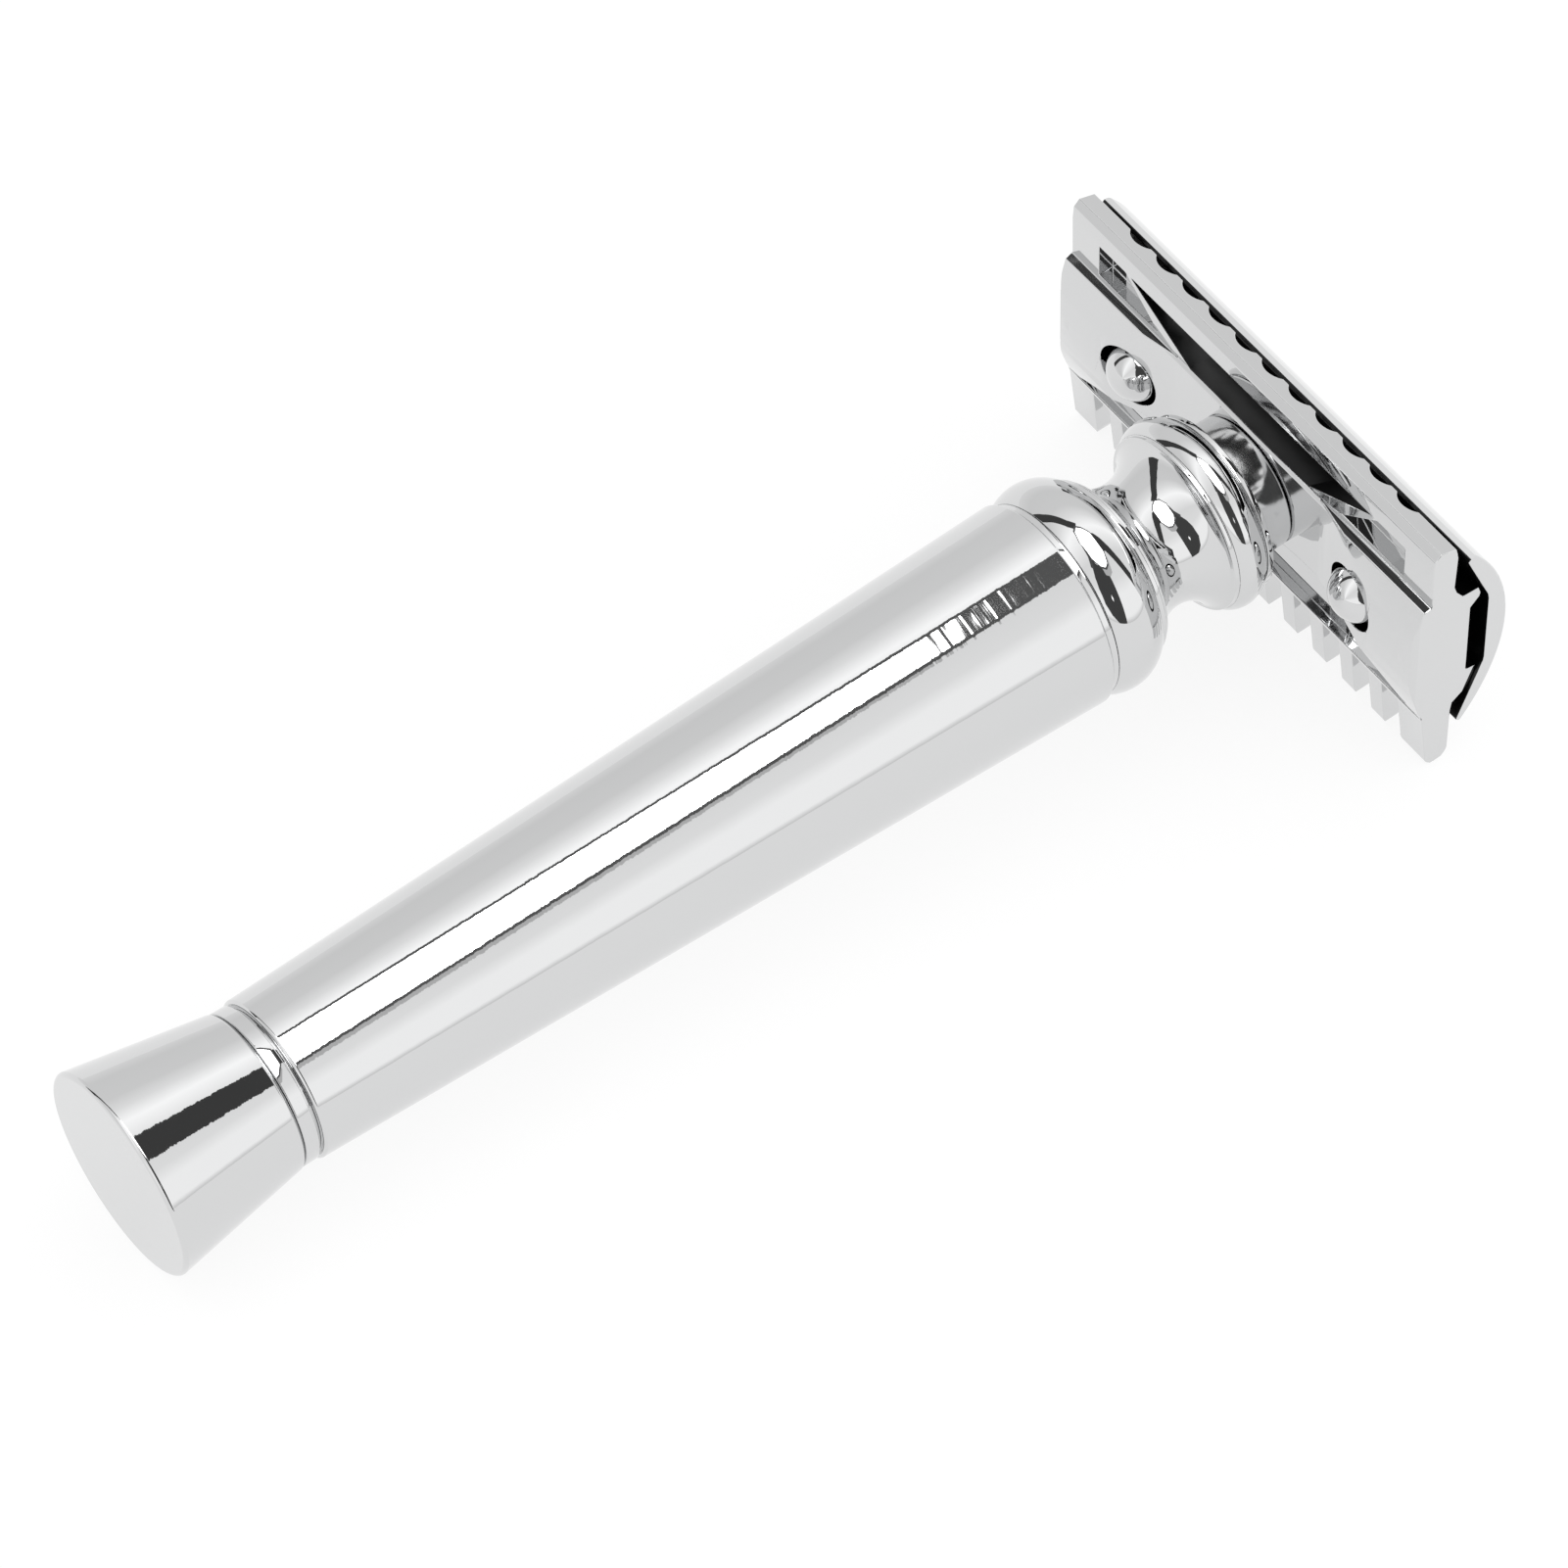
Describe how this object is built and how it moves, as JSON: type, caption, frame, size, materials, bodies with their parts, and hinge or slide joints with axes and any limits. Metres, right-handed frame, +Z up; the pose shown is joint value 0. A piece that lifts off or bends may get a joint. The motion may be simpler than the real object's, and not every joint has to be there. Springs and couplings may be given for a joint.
{
  "type": "safety razor",
  "caption": "Double-edge safety razor: tapered turned handle, guard plate with a scalloped bar and an open comb, and a curved cap that clamps the blade.",
  "frame": {"origin": "centre of the bounding box at table height, with the razor lying as it rests on a table on the rim of its knob and the tips of its comb", "axes": "+X along the handle towards the head, +Y across towards one end of the head, +Z up"},
  "size_m": [0.1106, 0.0436, 0.0262],
  "materials": {
    "chrome": "mirror-polished chrome plate",
    "brass": "turned, bare",
    "steel": "drawn, plain"
  },
  "bodies": {
    "handle": {"end_knob": "chrome", "knob_collar": "chrome", "barrel": "chrome", "front_ring": "chrome", "neck": "chrome", "thread_insert": "brass", "tie_rod": "steel"},
    "guard": {"base_plate": "chrome"},
    "cap": {"cap": "chrome", "cap_stud": "chrome", "post_near": "chrome", "post_far": "chrome"}
  },
  "joints": [
    {"name": "head_turn", "type": "hinge", "parent": "handle", "child": "guard", "pos_m": [0.04781, 0, 0.01387], "axis": [0.9986, 0, 0.053], "range_deg": [0, 2160]},
    {"name": "cap_lift", "type": "slide", "parent": "guard", "child": "cap", "axis": [0.9986, 0, 0.053], "range_m": [0, 0.00481]}
  ],
  "couplings": [
    {"joint": "cap_lift", "follows": "head_turn", "m_per_rad": 0.00012732}
  ]
}
